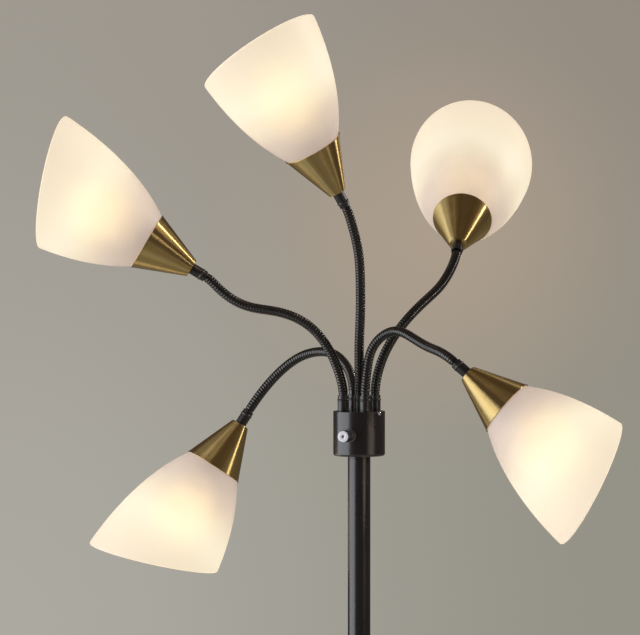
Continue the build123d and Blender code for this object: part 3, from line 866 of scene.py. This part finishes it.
def makeSwitch():
    seat = placeOn((0, 0, switchSeat["height"]), levelDirection(switchSeat["angle"]), (0, 0, 1))
    radius, bore, foot = nutForm["radius"], nutForm["bore"], hub["radius"]
    nutOutline = softened([
        (bore, foot), (radius, foot, 0.2), (radius, foot + 1.5, 0.25),
        (radius - 0.7, foot + 1.7, 0.2), (radius - 0.8, foot + 2.4, 0.3),
        (radius - 1.7, foot + 2.6, 0.3), (radius - 1.9, foot + 2.2, 0.2),
        (radius - 2.5, foot + 2.3, 0.2), (bore, foot + nutForm["thickness"], 0.3)])
    mesh = flutedMesh("ringNut", nutOutline, nutForm, radius - 0.3, foot + 1.7, nutBlack)
    addPiece("switchRingNut", mesh, nutBlack, "stand", "black_paint", "switch_nut", place=seat)
    radius, back, front, bore = (knobForm[key] for key in ("radius", "back", "front", "bore"))
    boreEnd = back + knobForm["boreDepth"]
    knobOutline = softened([
        (bore, back, 0.2), (radius - 0.6, back, 0.3), (radius, back + 0.8, 0.3),
        (radius, front - 0.35, 0.2), (radius - 0.25, front, 0.2), (1.5, front, 0.25),
        (0.9, front - 0.8, 0.3), (0, front - 1.0), (0, boreEnd), (bore, boreEnd)], arcSteps=5)
    mesh = flutedMesh("flutedKnob", knobOutline, knobForm, radius - 0.65, front - 0.1, turnedSilver)
    addPiece("flutedSwitchKnob", mesh, turnedSilver, "knob", "silver_metal", "switch_knob",
             place=seat)


makeHub()
makeScrews()
makeSwitch()
print("hub, screws and switch made")


shadeForm = {"wall": 2.8, "mouthHeight": 107.8, "mouthSlope": 0.38,
             "floor": -7.0, "floorRadius": 24.5, "hole": 17.0, "highest": 140.0,
             "swell": [(28.2, 0.0), (64.85, 53.45), (64.64, 136.21), (63.75, 136.0)]}


def bezierPoints(handles, count):
    a, b, c, d = (Vector(handle) for handle in handles)
    shares = [step / (count - 1) for step in range(count)]
    return [a * (1 - t) ** 3 + b * 3 * (1 - t) ** 2 * t + c * 3 * (1 - t) * t ** 2 + d * t ** 3
            for t in shares]


swellPoints = bezierPoints(shadeForm["swell"], 300)


def shadeRadius(height):
    return float(np.interp(height, [p.y for p in swellPoints], [p.x for p in swellPoints]))


def makeShadeMesh():
    wall, mouth, floor = shadeForm["wall"], shadeForm["mouthHeight"], shadeForm["floor"]
    lip = wall / 2
    outline = [(shadeForm["hole"], floor, 0), (shadeForm["floorRadius"] - 1, floor, 0),
               (shadeForm["floorRadius"] + 0.4, floor + 0.8, 0)]
    rise = [(mouth - lip) * step / 36 for step in range(37)]
    outline += [(shadeRadius(height), height, 0) for height in rise]
    for step in range(1, 8):
        angle = math.pi * step / 8
        outline.append((shadeRadius(mouth) - lip + lip * math.cos(angle),
                        mouth - lip + lip * math.sin(angle), 1.0))
    outline += [(shadeRadius(height + 1.0) - wall, height, 0) for height in reversed(rise)]
    outline += [(24.6, floor + wall + 1.2, 0), (23.0, floor + wall, 0),
                (shadeForm["hole"], floor + wall, 0)]
    values = {"Mouth Height": mouth * mm, "Mouth Slope": shadeForm["mouthSlope"],
              "Material": glowPaintedOpalGlass}
    return keepOwnPlace(bakedMesh(turnedMesh("levelShade", outline, 128),
                                  makeSlantCutTree(shadeRadius, shadeForm["highest"]), values,
                                  "slantCutShade"))


def makeConeMesh():
    length, rim, small, wall, hole = coneForm.values()
    outline = softened([
        (rim - 0.45, -1.0), (rim + 0.1, -0.85), (rim + 0.3, -0.45), (rim + 0.15, -0.1, 0.1),
        (rim - wall, 0, 0.2), (small - wall, 1 - length, 0.4), (hole, 1 - length),
        (hole, -length), (small, -length, 0.9)])
    return turnedMesh("brassCone", outline, 128)


holderForm = {"threads": 5, "pitch": 3.2, "crest": 16.5, "root": 15.9, "top": 12.0,
              "bore": 13.6, "boreFoot": -16.0, "skirt": 15.0, "flange": 20.0,
              "foot": [(0, -36.5), (4.3, -36.5), (4.3, -42.0, 0.3), (8.0, -42.0, 1.0)]}


def makeHolderMesh():
    shelf = shadeForm["floor"]
    threads, pitch, crest, root, top, bore, boreFoot, skirt, flange, foot = holderForm.values()
    outline = [*foot, (skirt, -31.0, 2.0), (skirt, shelf - 2),
               (flange, shelf - 2, 0.6), (flange, shelf, 0.6), (skirt + 1, shelf, 0.2)]
    for thread in range(threads):
        low = shelf + 2 + thread * pitch
        outline += [(crest, low + 0.6, 0.3), (crest, low + 1.6, 0.3), (root, low + 2.2, 0.2),
                    (root, low + 3.0, 0.2)]
    outline += [(root, top, 0.4), (bore, top, 0.4), (bore, boreFoot, 0.6), (0, boreFoot)]
    return turnedMesh("lampHolder", softened(outline, 3), 64)


ringForm = {"bore": 16.8, "radius": 21.5, "top": 0.5}


def makeRingMesh():
    low, (bore, radius, top) = shadeForm["floor"] + shadeForm["wall"], ringForm.values()
    outline = softened([(bore, low, 0.2), (radius, low, 0.3), (radius, top, 0.8), (bore, top, 0.5)])
    return turnedMesh("shadeRing", outline, 72)


bulbForm = {"cap": [(0, -15.5, 0), (11.5, -15.5, 0), (13.0, -14.0, 0)],
            "lower": [(13.0, 14.0), (13.6, 26.0), (30.2, 38.0), (30.0, 58.0)],
            "upper": [(30.0, 58.0), (29.8, 75.5), (17.0, 88.0), (0.0, 88.0)]}


def makeBulbMesh():
    lower, upper = bezierPoints(bulbForm["lower"], 22), bezierPoints(bulbForm["upper"], 20)
    outline = [*bulbForm["cap"], *((point.x, point.y, 0) for point in lower + upper[1:-1]),
               (*bulbForm["upper"][-1], 0)]
    return turnedMesh("roundBulb", outline, 64)


def makeFerruleMesh():
    radius, length, seat, bore, shank, shankFoot = ferrule.values()
    outline = softened([
        (0, shankFoot), (shank, shankFoot, 0.5), (shank, 0),
        (radius, 0, 0.2), (radius, length - 5.6, 0.4), (radius + 0.5, length - 4.9, 0.35),
        (radius + 0.45, length - 4.2, 0.3), (radius - 0.15, length - 3.5, 0.4),
        (radius - 0.1, length, 0.35), (bore, length, 0.1), (bore, seat, 0.2), (0, seat)])
    return turnedMesh("neckFerrule", outline, 56)


headMeshes = {
    "litShade": (makeShadeMesh(), glowPaintedOpalGlass, "opal_glass", "shade"),
    "brassCone": (makeConeMesh(), brushedBrass, "antique_brass", "cone"),
    "lampHolder": (makeHolderMesh(), blackPlastic, "black_plastic", "socket"),
    "shadeRing": (makeRingMesh(), blackPlastic, "black_plastic", "shade_ring"),
    "roundBulb": (makeBulbMesh(), frostedBulb, "white_bulb", "bulb"),
}
ferruleMesh = makeFerruleMesh()
print("head forms made")


neckForm = {"groove": 4.1, "rib": 0.6, "pitch": 2.85, "samples": 10, "around": 28,
            "pastFerrule": 0.3}


def neckLine(points, startAim, endAim, tail):
    # The smooth curve through the points, running straight on into both ferrules.
    spots = np.array(points, float)
    gaps = np.linalg.norm(np.diff(spots, axis=0), axis=1)
    count = len(spots)
    system, known = np.eye(count), np.zeros((count, 3))
    known[0], known[-1] = startAim, endAim
    for here in range(1, count - 1):
        before, after = gaps[here - 1], gaps[here]
        system[here, here - 1:here + 2] = after, 2 * (before + after), before
        known[here] = 3 * (after * (spots[here] - spots[here - 1]) / before
                           + before * (spots[here + 1] - spots[here]) / after)
    slopes = np.linalg.solve(system, known)
    reach = np.concatenate([[tail], gaps, [tail]])
    spots = np.vstack([spots[0] - slopes[0] * tail, spots, spots[-1] + slopes[-1] * tail])
    slopes = np.vstack([slopes[0], slopes, slopes[-1]])
    curve = bpy.data.curves.new("neckLine", "CURVE")
    curve.dimensions = "3D"
    spline = curve.splines.new("BEZIER")
    spline.bezier_points.add(len(spots) - 1)
    spline.resolution_u = 24
    for index, point in enumerate(spline.bezier_points):
        leftReach, rightReach = reach[max(index - 1, 0)], reach[min(index, len(reach) - 1)]
        point.handle_left_type = point.handle_right_type = "FREE"
        point.co = spots[index] * mm
        point.handle_left = (spots[index] - slopes[index] * leftReach / 3) * mm
        point.handle_right = (spots[index] + slopes[index] * rightReach / 3) * mm
    return curve, spline.calc_length()


def makeNeck(name, arm, foot):
    start = foot + Vector((0, 0, ferrule["length"]))
    aim = Vector(arm["aim"]).normalized()
    end = Vector(arm["rim"]) - aim * (coneForm["length"] + ferrule["length"])
    tail = ferrule["length"] - ferrule["seat"]
    curve, length = neckLine([start, *arm["route"], end], (0, 0, 1), aim, tail)
    stations = 2 * round(length / (neckForm["pitch"] * mm) * neckForm["samples"] / 2) + 1
    values = {"Stations": stations, "Around": neckForm["around"],
              "Groove Radius": neckForm["groove"] * mm, "Rib Height": neckForm["rib"] * mm,
              "Rib Pitch": neckForm["pitch"] * mm, "Material": neckBlack,
              "Plain End": (tail + neckForm["pastFerrule"]) * mm}
    for half, bodies in (("Lower", ("stand", f"{name}_mid")),
                         ("Upper", (f"{name}_mid", f"{name}_head"))):
        mesh = bakedMesh(curve.copy(), woundNeckTree, {**values, "Keep Upper": half == "Upper"},
                         f"woundNeck{half}")
        build = bmesh.new()
        build.from_mesh(mesh)
        openEdges = [edge for edge in build.edges if edge.is_boundary]
        bmesh.ops.holes_fill(build, edges=openEdges, sides=0)
        bmesh.ops.recalc_face_normals(build, faces=build.faces)
        build.to_mesh(mesh)
        build.free()
        piece = addPiece(f"{name}_woundNeck{half}", mesh, neckBlack, None, "neck_black",
                         f"{name}_gooseneck_{half.lower()}")
        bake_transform(piece)


for name, arm in arms.items():
    foot = Vector((0, 0, hub["top"]))
    if arm["around"] is not None:
        foot = foot + levelDirection(arm["around"]) * armFootRadius
    headBody = f"{name}_head"
    headPlace = placeOn(arm["rim"], arm["aim"], arm["longSide"])
    for piece, (mesh, material, slotName, node) in headMeshes.items():
        addPiece(f"{name}_{piece}", mesh, material, headBody, slotName, f"{name}_{node}",
                 place=headPlace)
    coneFoot = headPlace @ Vector((0, 0, -coneForm["length"] * mm)) / mm
    aim = Vector(arm["aim"]).normalized()
    addPiece(f"{name}_headFerrule", ferruleMesh, sleeveBlack, headBody, "neck_black",
             f"{name}_head_ferrule", place=placeOn(coneFoot, -aim, arm["longSide"]))
    addPiece(f"{name}_baseFerrule", ferruleMesh, sleeveBlack, "stand", "neck_black",
             f"{name}_base_ferrule", place=placeOn(foot, (0, 0, 1), (1, 0, 0)))
    makeNeck(name, arm, foot)
    print(name, "made")


keptFinishes = {"base_weight": castWeight, "coupler_nuts": zincSteel, "switch_body": zincSteel}
for node, material in keptFinishes.items():
    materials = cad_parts[node].data.materials
    materials.clear()
    materials.append(material)


stageLook = {"shader": {"Roughness": 0.95, "Specular IOR Level": 0.1,
                        "Emission Color": (0.385, 0.365, 0.322, 1.0)},
             "near": (0.58, 0.56, 0.51), "radius": 11.5, "fadeFrom": 2.5, "fadeTo": 10.5,
             "seenGlow": 0.46, "clouds": 1.5, "cloudDepth": 0.02}


def lightRays(node):
    return addNode(node.id_data, "ShaderNodeLightPath").outputs


def seenDirectly(rays):
    return maths("MAXIMUM", rays["Is Camera Ray"], rays["Is Transmission Ray"])


def makeFloor():
    # A pale floor that runs out into the backdrop's own tone towards its rim.
    build = bmesh.new()
    bmesh.ops.create_circle(build, cap_ends=True, segments=96, radius=stageLook["radius"])
    floor = newObject("plainFloor", plainMesh(build, "plainFloor"))
    material, shader, place = startMaterial("plainFloor", stageLook)
    away, depth = vectorMaths("LENGTH", place), stageLook["cloudDepth"]
    fade = ranged(away, stageLook["fadeFrom"], stageLook["fadeTo"], smooth=True)
    tone = plus(fade, ranged(noise(place, stageLook["clouds"], 3.0), 0.3, 0.7, -depth, depth))
    glow = ranged(fade, 0.0, 1.0, stageLook["seenGlow"], 1.0)
    feed(shader, {"Base Color": mixed(tone, stageLook["near"], (0, 0, 0)),
                  "Emission Strength": times(glow, seenDirectly(lightRays(shader)))})
    floor.data.materials.append(material)


lamps = {
    # Azimuths count in degrees from the front towards the left, heights and sizes in metres.
    "leftWindow": {"azimuth": 78, "height": 1.40, "distance": 3.0, "size": (3.9, 2.7),
                   "radiance": 1.88, "colour": (0.94, 0.97, 1.0),
                   "sparesFloor": True},  # it would cut a hard edge across the floor
    "rightSpot": {"azimuth": -107, "height": 2.80, "distance": 3.2, "size": (0.15, 0.18),
                  "radiance": 260.0, "colour": (1.0, 0.96, 0.88)},
    "warmPatch": {"azimuth": -57, "height": 1.85, "distance": 3.2, "size": (0.42, 0.38),
                  "radiance": 7.0, "colour": (1.0, 0.86, 0.73)},
}


def makeLamps():
    for name, look in lamps.items():
        width, tall = look["size"]
        data = bpy.data.lights.new(name, "AREA")
        data.shape, data.size, data.size_y = "RECTANGLE", width, tall
        data.energy = look["radiance"] * math.pi * width * tall
        data.color = look["colour"]
        lamp = newObject(name, data)
        away = levelDirection(-look["azimuth"]) * look["distance"]
        lamp.location = Vector((away.x, away.y, look["height"]))
        lamp.rotation_euler = (-away).to_track_quat("-Z", "Y").to_euler()
        lamp.visible_camera = False
        if look.get("sparesFloor"):
            spared = bpy.data.collections.new(name + "Spares")
            spared.objects.link(bpy.data.objects["plainFloor"])
            spared.collection_objects[0].light_linking.link_state = "EXCLUDE"
            lamp.light_linking.receiver_collection = spared


worldLook = {
    # What the camera sees past the floor, from low to high and from left to right,
    "lowLeft": (0.413, 0.398, 0.355), "lowRight": (0.300, 0.292, 0.244),
    "highLeft": (0.350, 0.325, 0.283), "highRight": (0.300, 0.262, 0.222),
    "middle": -0.034, "reach": 0.064,
    # a softly lit warm patch behind the heads: its direction, reach, share and colour,
    "patchPlace": (0.0235, 1.0, -0.0169), "patchReach": 0.050, "patchShare": 0.85,
    "patch": (0.425, 0.343, 0.262),
    # the light all round, and the darker room that metal and paint mirror.
    "ambient": (0.30, 0.29, 0.28), "mirrored": (0.090, 0.068, 0.054),
}


def makeWorld():
    look = worldLook
    world = bpy.data.worlds.new("plainRoom")
    world.use_nodes = True
    bpy.context.scene.world = world
    background = world.node_tree.nodes["Background"]
    way = addNode(world.node_tree, "ShaderNodeTexCoord").outputs["Generated"]
    parts, middle, reach = split(way), look["middle"], look["reach"]
    across = ranged(parts[0], -reach, reach, smooth=True)
    up = ranged(parts[2], middle - reach, middle + reach, smooth=True)
    seen = mixed(up, mixed(across, look["lowLeft"], look["lowRight"]),
                 mixed(across, look["highLeft"], look["highRight"]))
    fromPatch = vectorMaths("LENGTH", vectorMaths(
        "SUBTRACT", way, Vector(look["patchPlace"]).normalized()))
    inPatch = ranged(fromPatch, 0.0, look["patchReach"], look["patchShare"], 0.0, smooth=True)
    rays = lightRays(background)
    around = mixed(rays["Is Glossy Ray"], look["ambient"], look["mirrored"])
    feed(background, {"Strength": 1.0, "Color": mixed(
        seenDirectly(rays), around, mixed(inPatch, seen, look["patch"]))})


cameraLook = {"place": (-0.0384, -5.0, 1.754), "down": 1.95, "lens": 5102 / 640 * 36}


def makeCamera():
    data = bpy.data.cameras.new("photoView")
    data.sensor_width, data.sensor_fit, data.lens = 36.0, "HORIZONTAL", cameraLook["lens"]
    data.clip_end = 200.0
    camera = newObject("photoView", data)
    camera.location = cameraLook["place"]
    camera.rotation_euler = (math.radians(90 - cameraLook["down"]), 0, 0)
    bpy.context.scene.camera = camera


makeFloor()
makeLamps()
makeWorld()
makeCamera()
bpy.context.scene.view_settings.view_transform = "Standard"
print("floor, light and camera made")
